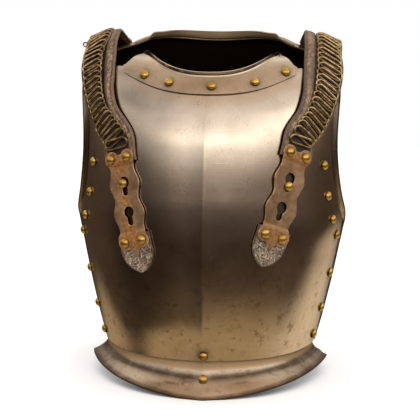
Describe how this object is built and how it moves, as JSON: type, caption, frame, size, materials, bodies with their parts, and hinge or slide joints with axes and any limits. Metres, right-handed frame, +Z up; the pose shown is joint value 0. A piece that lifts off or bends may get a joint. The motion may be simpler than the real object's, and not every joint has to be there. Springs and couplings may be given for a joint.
{
  "type": "cavalry cuirass",
  "caption": "Steel breastplate and backplate joined over the shoulders by chained leather straps that hook over studs by keyhole plates.",
  "frame": {"origin": "middle of the bounding box on the floor the waist flanges stand on", "axes": "+Z up; the wearer faces -Y, so +X is the wearer's left (the viewer's right from the front)"},
  "size_m": [0.343, 0.2944, 0.4362],
  "materials": {
    "breast_steel": "polished, worn, brown in places",
    "back_steel": "worn, browned",
    "plate_steel": "dull, rust around the rivets",
    "brass": "polished domes",
    "chain_brass": "aged wire",
    "leather": "old, cracked"
  },
  "bodies": {
    "back": {"back_shell": "back_steel", "back_neck_band": "back_steel", "back_waist_flange": "back_steel", "left_strap_leather_rear": "leather", "left_strap_chain_rear": "chain_brass", "left_anchor_plate": "plate_steel", "left_anchor_rivet_1": "brass", "left_anchor_rivet_2": "brass", "right_strap_leather_rear": "leather", "right_strap_chain_rear": "chain_brass", "right_anchor_plate": "plate_steel", "right_anchor_rivet_1": "brass", "right_anchor_rivet_2": "brass"},
    "breast": {"breast_shell": "breast_steel", "breast_neck_band": "breast_steel", "breast_waist_flange": "breast_steel", "neck_rivet_1": "brass", "neck_rivet_2": "brass", "neck_rivet_3": "brass", "neck_rivet_4": "brass", "neck_rivet_5": "brass", "waist_rivet": "brass", "flange_rivet": "brass", "left_side_rivet_1": "brass", "left_side_rivet_2": "brass", "left_side_rivet_3": "brass", "left_side_rivet_4": "brass", "left_side_rivet_5": "brass", "left_side_rivet_6": "brass", "left_side_rivet_7": "brass", "right_side_rivet_1": "brass", "right_side_rivet_2": "brass", "right_side_rivet_3": "brass", "right_side_rivet_4": "brass", "right_side_rivet_5": "brass", "right_side_rivet_6": "brass", "right_side_rivet_7": "brass", "left_stud": "brass", "left_strap_leather_front": "leather", "left_strap_chain_front": "chain_brass", "right_stud": "brass", "right_strap_leather_front": "leather", "right_strap_chain_front": "chain_brass"},
    "left_plate": {"left_strap_plate": "plate_steel", "left_strap_leather_end": "leather", "left_strap_tongue": "leather", "left_plate_rivet_1": "brass", "left_plate_rivet_2": "brass", "left_plate_rivet_3": "brass", "left_plate_rivet_4": "brass"},
    "right_plate": {"right_strap_plate": "plate_steel", "right_strap_leather_end": "leather", "right_strap_tongue": "leather", "right_plate_rivet_1": "brass", "right_plate_rivet_2": "brass", "right_plate_rivet_3": "brass", "right_plate_rivet_4": "brass"}
  },
  "joints": [
    {"name": "breast_open", "type": "hinge", "parent": "back", "child": "breast", "pos_m": [0, 0.01474, 0.4375], "axis": [-1, 0, 0], "range_deg": [0, 20]},
    {"name": "right_plate_lift", "type": "hinge", "parent": "breast", "child": "right_plate", "pos_m": [-0.10784, -0.10267, 0.29591], "axis": [-0.8471, 0.4651, -0.257], "range_deg": [0, 75]},
    {"name": "left_plate_slide", "type": "slide", "parent": "breast", "child": "left_plate", "axis": [-0.2306, -0.2858, -0.9301], "range_m": [0, 0.0094]}
  ]
}
